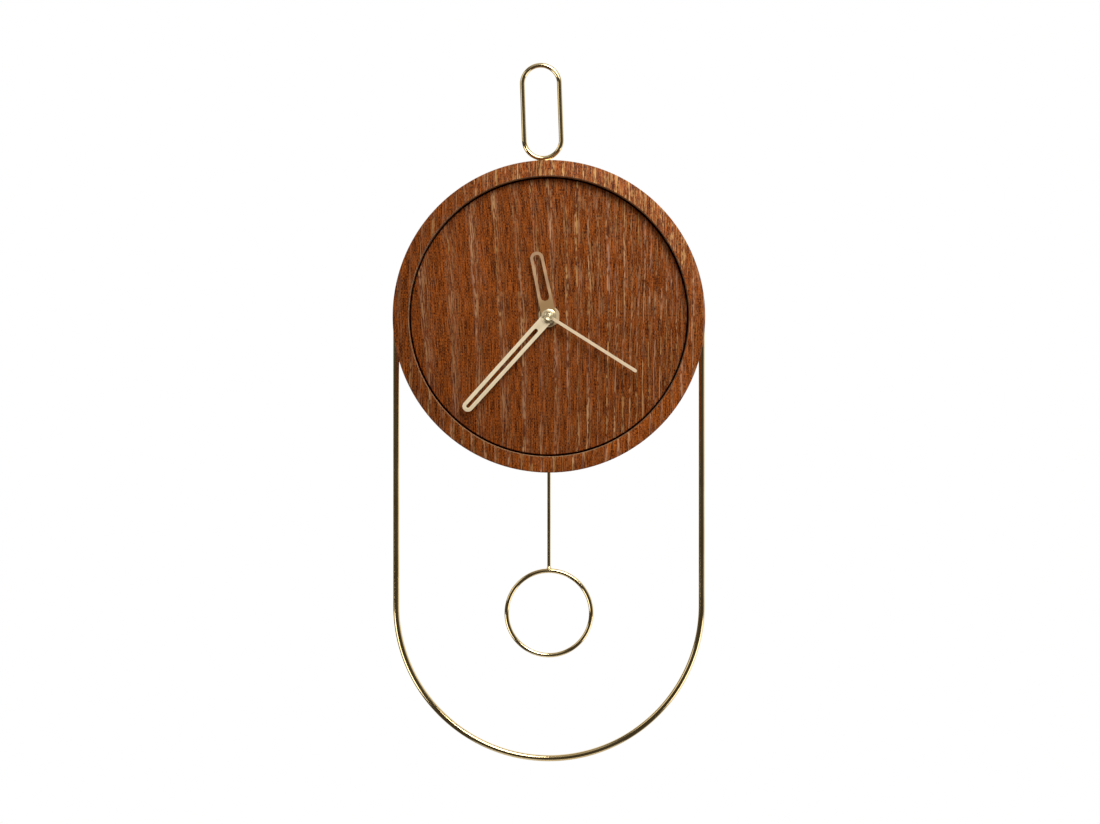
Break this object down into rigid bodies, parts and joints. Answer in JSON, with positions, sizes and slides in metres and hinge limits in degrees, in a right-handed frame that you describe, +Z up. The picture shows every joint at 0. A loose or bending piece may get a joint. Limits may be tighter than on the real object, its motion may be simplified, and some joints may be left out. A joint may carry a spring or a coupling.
{
  "type": "pendulum wall clock",
  "caption": "Round veneered wall clock with a recessed bare dial and slotted hands, on a long wire frame with a hanging loop, and a ring pendulum driven by a quartz movement.",
  "frame": {"origin": "point of the wall behind the hands' axis", "axes": "+Z up, the dial faces -Y, +Y into the wall, +X to the right as seen from the front"},
  "size_m": [0.2226, 0.0449, 0.4989],
  "materials": {
    "case_veneer": "satin stained veneer on fibreboard",
    "dial_veneer": "satin stained veneer",
    "brass_wire": "polished",
    "brass_plate": "satin",
    "hub_brass": "turned",
    "gilt_hand": "satin champagne gilt",
    "gilt_cap": "turned champagne gilt",
    "black_plastic": "fine spark texture",
    "black_rubber": "matte",
    "white_nylon": "moulded",
    "train_brass": "machined",
    "dark_magnet": "sintered",
    "plated_steel": "plated",
    "copper_wire": "enamelled",
    "green_board": "solder resist",
    "black_resin": "cast resin",
    "cell_jacket": "plain printed sleeve"
  },
  "bodies": {
    "case": {"case_ring": "case_veneer", "dial_panel": "dial_veneer", "frame_wire": "brass_wire", "hanging_loop": "brass_wire", "frame_tabs": "brass_plate", "tab_screws": "plated_steel", "rubber_gasket": "black_rubber", "dial_washer": "hub_brass", "dial_nut": "hub_brass", "movement_base": "black_plastic", "movement_cover": "black_plastic", "stator": "plated_steel", "coil_core": "plated_steel", "coil_bobbin": "white_nylon", "coil_winding": "copper_wire", "motor_screws": "plated_steel", "circuit_board": "green_board", "quartz_crystal": "plated_steel", "driver_chip": "black_resin", "positive_contact": "plated_steel", "negative_contact": "plated_steel", "drive_coil": "copper_wire", "arm_pivot": "plated_steel", "arm_retainer": "plated_steel"},
    "seconds": {"seconds_wheel": "train_brass", "second_hand": "gilt_hand", "second_cap": "gilt_cap"},
    "third": {"third_wheel": "white_nylon"},
    "rotor": {"rotor_pinion": "white_nylon", "rotor_magnet": "dark_magnet"},
    "fourth": {"fourth_wheel": "white_nylon"},
    "minute_drive": {"minute_wheel": "white_nylon"},
    "minutes": {"minute_arbor": "train_brass", "minute_hand": "gilt_hand"},
    "reverse": {"reverse_wheel": "white_nylon", "setting_knob": "black_plastic"},
    "hours": {"hour_wheel": "white_nylon", "hour_hand": "gilt_hand"},
    "pendulum": {"pendulum_arm": "black_plastic", "arm_magnet": "dark_magnet", "pendulum_rod": "brass_wire", "pendulum_ring": "brass_wire"},
    "cell": {"battery": "cell_jacket"}
  },
  "joints": [
    {"name": "second_spin", "type": "hinge", "parent": "case", "child": "seconds", "pos_m": [0, -0.02, 0], "axis": [0, 1, 0], "continuous": true},
    {"name": "third_spin", "type": "hinge", "parent": "case", "child": "third", "pos_m": [0.00919, -0.02, 0.00771], "axis": [0, 1, 0], "continuous": true},
    {"name": "rotor_spin", "type": "hinge", "parent": "case", "child": "rotor", "pos_m": [0.01893, -0.02, 0.01032], "axis": [0, 1, 0], "continuous": true},
    {"name": "fourth_spin", "type": "hinge", "parent": "case", "child": "fourth", "pos_m": [-0.01152, -0.02, 0], "axis": [0, 1, 0], "continuous": true},
    {"name": "minute_drive_spin", "type": "hinge", "parent": "case", "child": "minute_drive", "pos_m": [0, -0.02, 0], "axis": [0, 1, 0], "continuous": true},
    {"name": "minute_spin", "type": "hinge", "parent": "case", "child": "minutes", "pos_m": [0, -0.02, 0], "axis": [0, 1, 0], "continuous": true},
    {"name": "reverse_spin", "type": "hinge", "parent": "case", "child": "reverse", "pos_m": [-0.0045, -0.02, 0.01113], "axis": [0, 1, 0], "continuous": true},
    {"name": "hour_spin", "type": "hinge", "parent": "case", "child": "hours", "pos_m": [0, -0.02, 0], "axis": [0, 1, 0], "continuous": true},
    {"name": "pendulum_swing", "type": "hinge", "parent": "case", "child": "pendulum", "pos_m": [0, -0.0114, -0.03394], "axis": [0, 1, 0], "range_deg": [-8, 8]},
    {"name": "battery_slide", "type": "slide", "parent": "case", "child": "cell", "axis": [0, 1, 0], "range_m": [0, 0.016]}
  ],
  "couplings": [
    {"joint": "third_spin", "follows": "second_spin", "ratio": -5},
    {"joint": "rotor_spin", "follows": "second_spin", "ratio": 30},
    {"joint": "fourth_spin", "follows": "second_spin", "ratio": -0.13333},
    {"joint": "minute_drive_spin", "follows": "second_spin", "ratio": 0.016667},
    {"joint": "reverse_spin", "follows": "minute_spin", "ratio": -0.33333},
    {"joint": "hour_spin", "follows": "minute_spin", "ratio": 0.083333}
  ]
}
